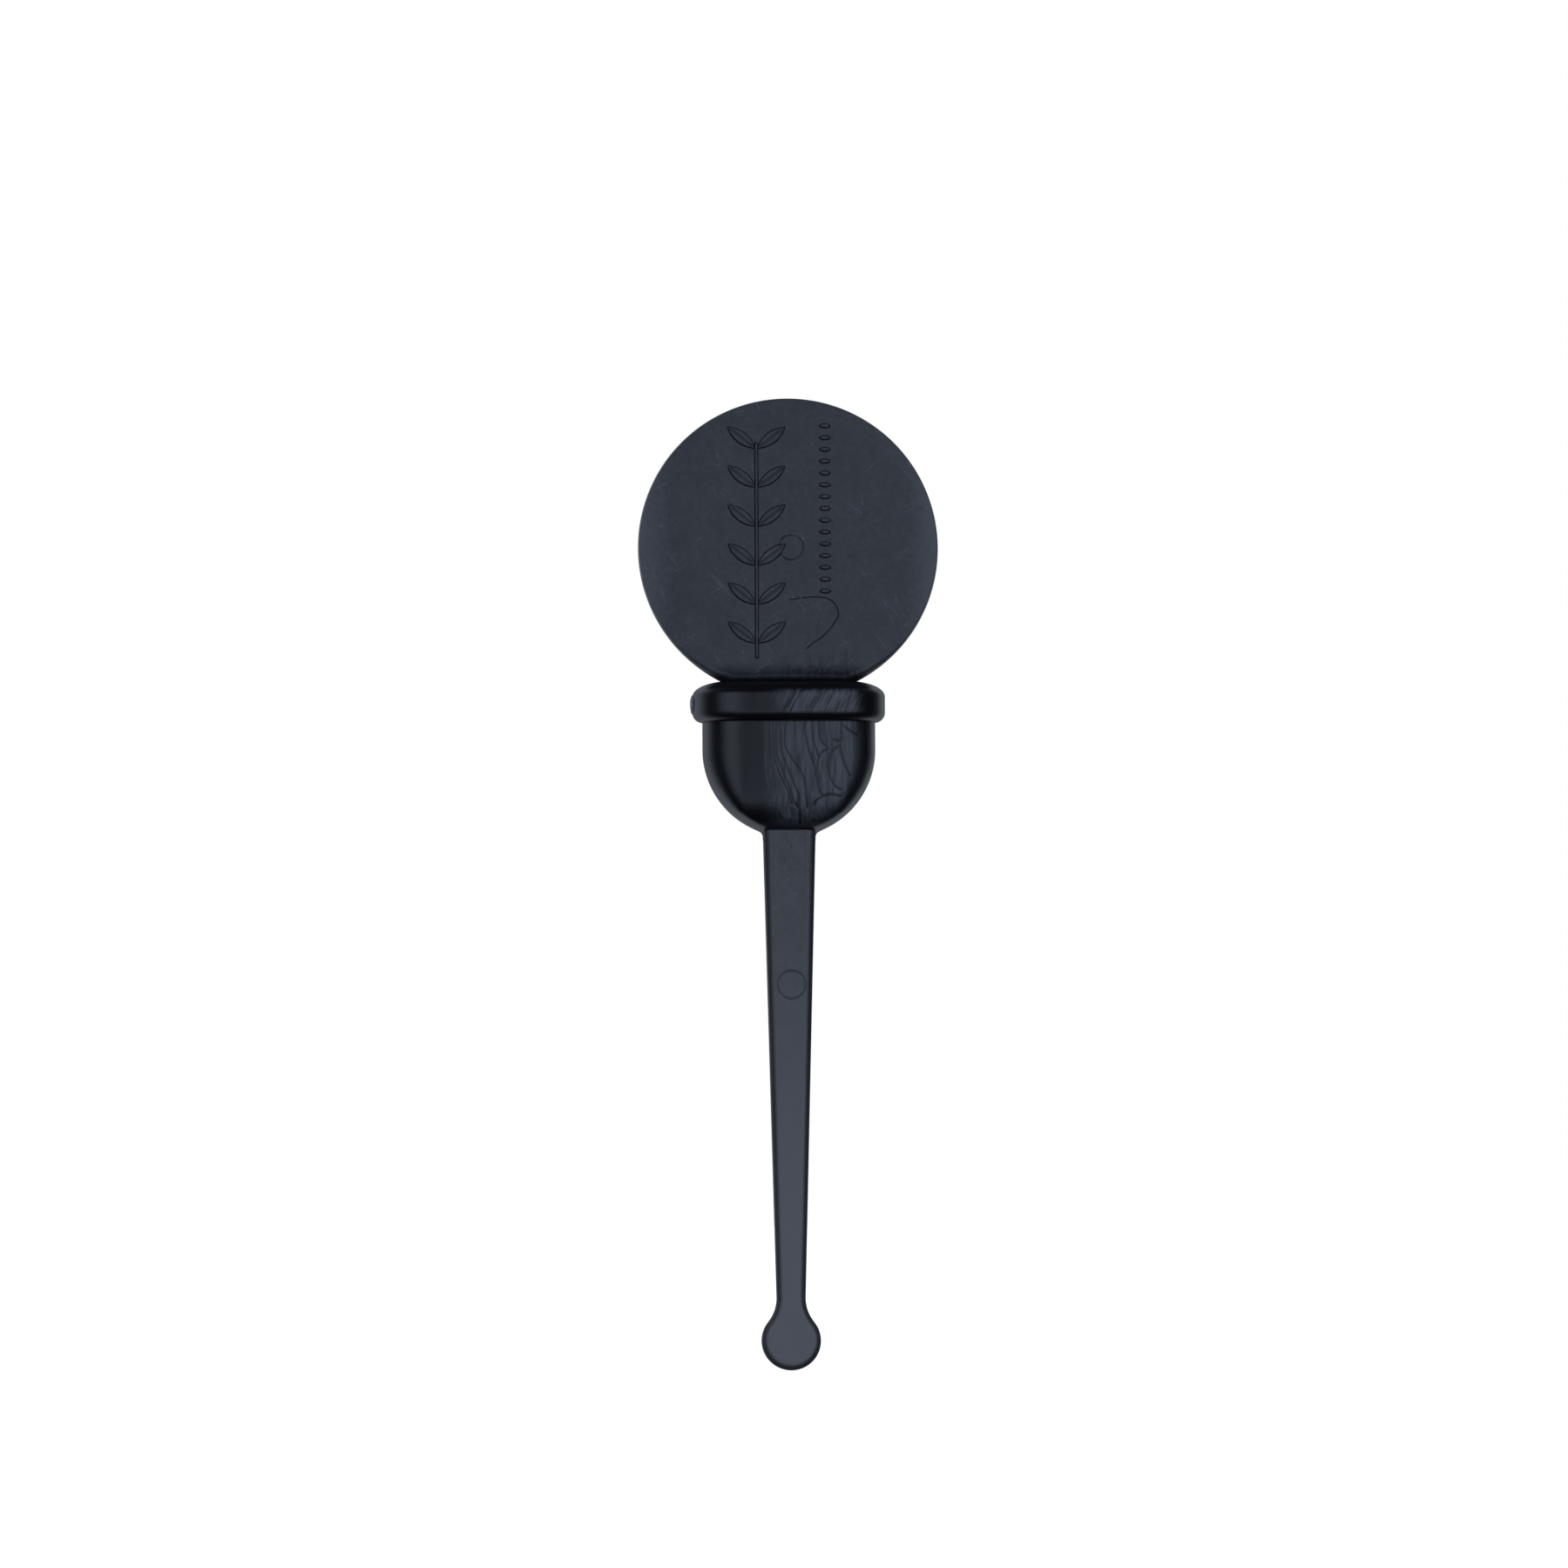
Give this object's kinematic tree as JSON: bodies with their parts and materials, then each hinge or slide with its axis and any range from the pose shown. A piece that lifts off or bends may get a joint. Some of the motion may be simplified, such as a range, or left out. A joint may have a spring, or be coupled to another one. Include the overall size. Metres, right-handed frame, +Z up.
{
  "type": "cup lid plug with stir stick",
  "caption": "Oblong lid plug with a collar, a flat round thumb disc above it and a flat tapering stir stick with a round tip below it.",
  "frame": {"origin": "centre of the collar's underside, the plane that seats on the cup lid", "axes": "+Z up the stick from the tip to the thumb disc, along the longest extent; the decorated front faces -Y; +X to the right seen from the front"},
  "size_m": [0.0254, 0.0076, 0.082],
  "materials": {
    "moulded_matte": "satin, fine scuffs",
    "moulded_gloss": "smooth, with moulding flow lines"
  },
  "bodies": {
    "root": {"thumb_disc": "moulded_matte", "sprig_relief": "moulded_matte", "seed_relief": "moulded_matte", "disc_neck": "moulded_matte", "seal_collar": "moulded_gloss", "stopper_plug": "moulded_gloss", "stem": "moulded_matte", "tip_flare": "moulded_matte", "stir_tip": "moulded_matte", "gate_vestige": "moulded_gloss"}
  },
  "joints": []
}
